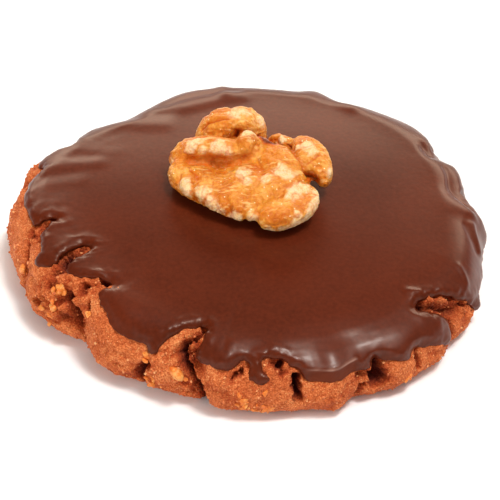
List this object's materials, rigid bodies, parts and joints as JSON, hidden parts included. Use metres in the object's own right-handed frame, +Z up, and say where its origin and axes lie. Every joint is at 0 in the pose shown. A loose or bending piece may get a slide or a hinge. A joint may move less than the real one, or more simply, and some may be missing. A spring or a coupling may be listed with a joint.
{
  "type": "afghan biscuit",
  "caption": "Thick round chocolate and cornflake biscuit with a craggy side, a smooth coat of chocolate icing that runs over the rim, and half a walnut on top.",
  "frame": {"origin": "centre of the flat base, where the biscuit rests", "axes": "+Z up through the walnut, -Y towards the front that the picture shows, +X to its right"},
  "size_m": [0.0867, 0.085, 0.0247],
  "materials": {
    "dough": "dry, sandy crumb",
    "icing": "satin, set chocolate icing",
    "walnut": "oily skin with pale rubbed patches"
  },
  "bodies": {
    "root": {"biscuit": "dough", "icing": "icing", "walnut": "walnut"}
  },
  "joints": []
}
